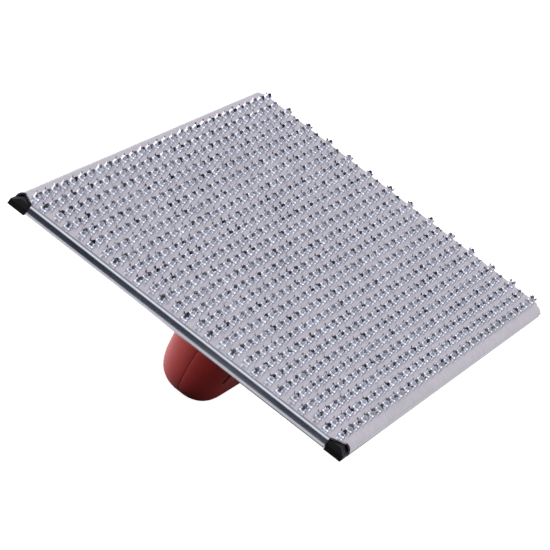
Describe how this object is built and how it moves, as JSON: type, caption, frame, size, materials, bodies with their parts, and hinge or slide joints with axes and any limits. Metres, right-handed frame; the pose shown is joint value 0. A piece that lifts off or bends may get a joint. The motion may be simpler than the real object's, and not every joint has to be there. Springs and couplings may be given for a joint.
{
  "type": "rasp float",
  "caption": "Hand rasp with a long toothed steel sheet folded round a moulded board and a bow handle beneath, for grating plaster, foam and aerated concrete.",
  "frame": {"origin": "under the middle of the tool, level with the outer face of the grip", "axes": "+Z out of the toothed face, Y along the long side, X along the short side"},
  "size_m": [0.13, 0.28, 0.0525],
  "materials": {
    "galvanised_sheet": "bright galvanised sheet, lightly brushed",
    "black_board": "moulded black plastic, satin",
    "red_handle": "dull red moulded plastic, soft satin",
    "zinc_fastener": "zinc plated",
    "black_screw": "blackened steel"
  },
  "bodies": {
    "root": {"rasp_sheet": "galvanised_sheet", "backing_board": "black_board", "handle_left_shell": "red_handle", "handle_right_shell": "red_handle", "foot_screw_1": "zinc_fastener", "foot_screw_2": "zinc_fastener", "foot_screw_3": "zinc_fastener", "foot_screw_4": "zinc_fastener", "foot_washer_1": "zinc_fastener", "foot_washer_2": "zinc_fastener", "foot_washer_3": "zinc_fastener", "foot_washer_4": "zinc_fastener", "foot_nut_1": "zinc_fastener", "foot_nut_2": "zinc_fastener", "foot_nut_3": "zinc_fastener", "foot_nut_4": "zinc_fastener", "shell_screw_1": "black_screw", "shell_screw_2": "black_screw", "shell_screw_3": "black_screw"}
  },
  "joints": []
}
